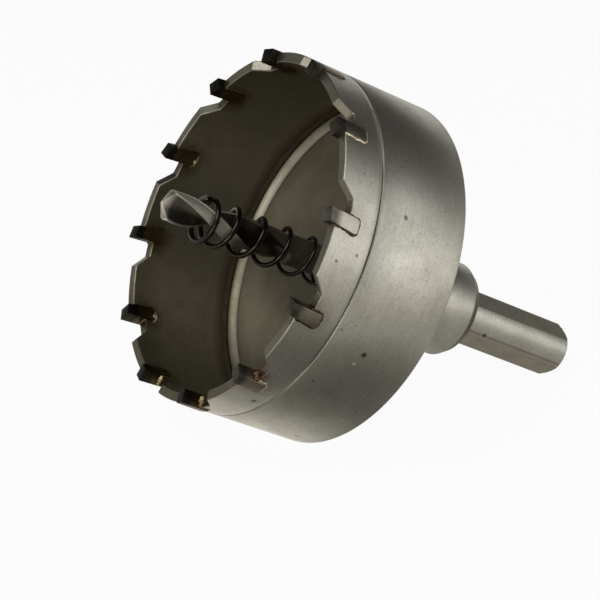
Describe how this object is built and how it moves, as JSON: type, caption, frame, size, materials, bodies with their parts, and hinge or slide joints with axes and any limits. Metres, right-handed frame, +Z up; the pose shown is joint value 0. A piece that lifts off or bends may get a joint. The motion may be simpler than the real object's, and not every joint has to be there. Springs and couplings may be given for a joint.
{
  "type": "carbide-tipped hole saw with pilot drill",
  "caption": "Hole saw for steel: turned cup with brazed carbide teeth, boss and three-flat shank, pilot drill and coiled ejector spring, lying on its side.",
  "frame": {"origin": "on the bench, below the centre of the whole tool's box", "axes": "+Z up from the bench; +X from the teeth towards the shank; +Y across. The tool leans back on its cup's rear edge and its shank's end, its own axis 28.65 degrees below +X towards the shank"},
  "size_m": [0.1069, 0.0806, 0.0869],
  "materials": {
    "turned_steel": "turned, satin",
    "carbide": "ground, dull dark grey",
    "drill_steel": "bright, ground",
    "spring_steel": "drawn, bright",
    "blackened_steel": "black oxide, satin"
  },
  "bodies": {
    "root": {"saw_body": "turned_steel", "carbide_tip_01": "carbide", "carbide_tip_02": "carbide", "carbide_tip_03": "carbide", "carbide_tip_04": "carbide", "carbide_tip_05": "carbide", "carbide_tip_06": "carbide", "carbide_tip_07": "carbide", "carbide_tip_08": "carbide", "carbide_tip_09": "carbide", "carbide_tip_10": "carbide", "carbide_tip_11": "carbide", "carbide_tip_12": "carbide", "pilot_drill": "drill_steel", "ejector_spring": "spring_steel", "grub_screw": "blackened_steel"}
  },
  "joints": []
}
